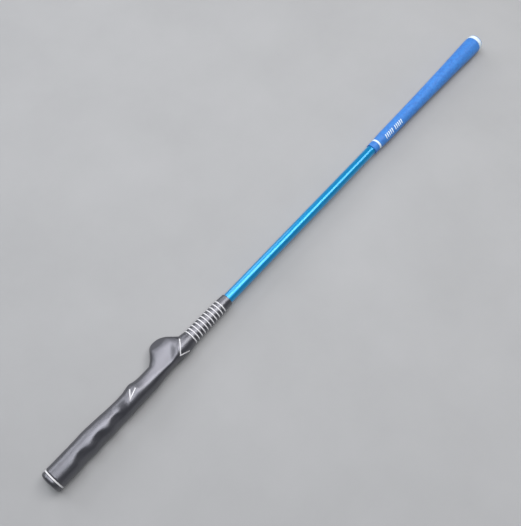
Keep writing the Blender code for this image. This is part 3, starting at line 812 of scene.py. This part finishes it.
# away from the lamps the floor stays pale to the eye, without lighting the stick
tree = n.mat.node_tree
seen = tree.nodes.new("ShaderNodeLightPath")
place_in = tree.nodes.new("ShaderNodeTexCoord")
away = tree.nodes.new("ShaderNodeVectorMath")
away.operation = "DISTANCE"
away.inputs[1].default_value = (0.45, 0.2, 0.0)
fade = tree.nodes.new("ShaderNodeMapRange")
fade.interpolation_type = "SMOOTHSTEP"
for socket, value in zip(("From Min", "From Max", "To Min", "To Max"), (0.7, 3.2, 0.0, 0.47)):
    fade.inputs[socket].default_value = value
gate = tree.nodes.new("ShaderNodeMath")
gate.operation = "MULTIPLY"
tree.links.new(place_in.outputs["Object"], away.inputs[0])
tree.links.new(away.outputs["Value"], fade.inputs["Value"])
tree.links.new(fade.outputs["Result"], gate.inputs[0])
tree.links.new(seen.outputs["Is Camera Ray"], gate.inputs[1])
shader = next(q for q in tree.nodes if q.type == "BSDF_PRINCIPLED")
shader.inputs["Emission Color"].default_value = (0.97, 0.985, 1.0, 1.0)
tree.links.new(gate.outputs["Value"], shader.inputs["Emission Strength"])

world = bpy.data.worlds.new("soft_room")
bpy.context.scene.world = world
world.use_nodes = True
world.node_tree.nodes["Background"].inputs["Color"].default_value = (0.86, 0.90, 0.98, 1)
world.node_tree.nodes["Background"].inputs["Strength"].default_value = 0.16
tree = world.node_tree
seen = tree.nodes.new("ShaderNodeLightPath")
pale = tree.nodes.new("ShaderNodeBackground")
pale.inputs["Color"].default_value = (0.97, 0.985, 1.0, 1.0)
pale.inputs["Strength"].default_value = 0.56
either = tree.nodes.new("ShaderNodeMixShader")
tree.links.new(seen.outputs["Is Camera Ray"], either.inputs[0])
tree.links.new(tree.nodes["Background"].outputs[0], either.inputs[1])
tree.links.new(pale.outputs[0], either.inputs[2])
out = next(q for q in tree.nodes if q.type == "OUTPUT_WORLD")
tree.links.new(either.outputs[0], out.inputs["Surface"])


def panel(name, a, b, width, radiance, colour=(1, 1, 1)):
    """A soft overhead panel whose long axis runs from a to b, facing down at the stick."""
    a, b = Vector(a), Vector(b)
    light = bpy.data.lights.new(name, "AREA")
    light.shape = "RECTANGLE"
    light.size, light.size_y = (b - a).length, width
    light.energy = radiance * math.pi * light.size * light.size_y
    light.color = colour
    obj = bpy.data.objects.new(name, light)
    x = (b - a).normalized()
    z = ((a + b) / 2 - Vector(((a + b).x * 0.225, 0.0, 0.0))).normalized()
    y = z.cross(x).normalized()
    z = x.cross(y)
    obj.matrix_world = Matrix.Translation((a + b) / 2) @ Matrix((x, y, z)).transposed().to_4x4()
    bpy.context.scene.collection.objects.link(obj)
    return obj


panel("key_near", (-0.15, 0.15, 2.0), (0.42, 0.15, 2.0), 2.8, 4.8, (0.94, 0.95, 1.0))
panel("key_middle", (0.42, 0.38, 2.0), (0.62, 0.38, 2.0), 2.7, 5.1, (0.96, 0.94, 1.0))
panel("key_third", (0.62, 0.30, 2.0), (0.80, 0.30, 2.0), 2.4, 4.2, (0.98, 0.93, 1.0))
panel("key_taper", (0.80, -0.05, 2.0), (1.06, -0.05, 2.0), 1.5, 5.6, (0.99, 0.97, 1.0))
panel("key_far", (1.06, -0.30, 2.0), (2.1, -0.30, 2.0), 1.0, 5.8, (1.0, 0.99, 0.99))
panel("side", (-0.55, 2.2, 1.15), (0.18, 2.2, 1.15), 1.0, 5.2, (0.94, 0.95, 1.0))
panel("side_far", (0.60, 2.0, 1.15), (1.40, 2.0, 1.15), 1.1, 3.0, (0.94, 0.95, 1.0))

# ------------------------------------------------------------------- camera
cam = bpy.data.cameras.new("camera")
cam.sensor_width = 36.0
cam.lens = 49.1
cam_obj = bpy.data.objects.new("camera", cam)
bpy.context.scene.collection.objects.link(cam_obj)
look = Vector((0.318, 0.278, -0.906)).normalized()
right = look.cross(Vector((0, 0, 1))).normalized()
up = right.cross(look)
place = Vector((0.3792, 0.0, 0.0)) - look * 0.964 + E_D * 0.0018
cam_obj.matrix_world = Matrix.Translation(place) @ Matrix((right, up, -look)).transposed().to_4x4()
bpy.context.scene.camera = cam_obj
bpy.context.scene.view_settings.view_transform = "Standard"
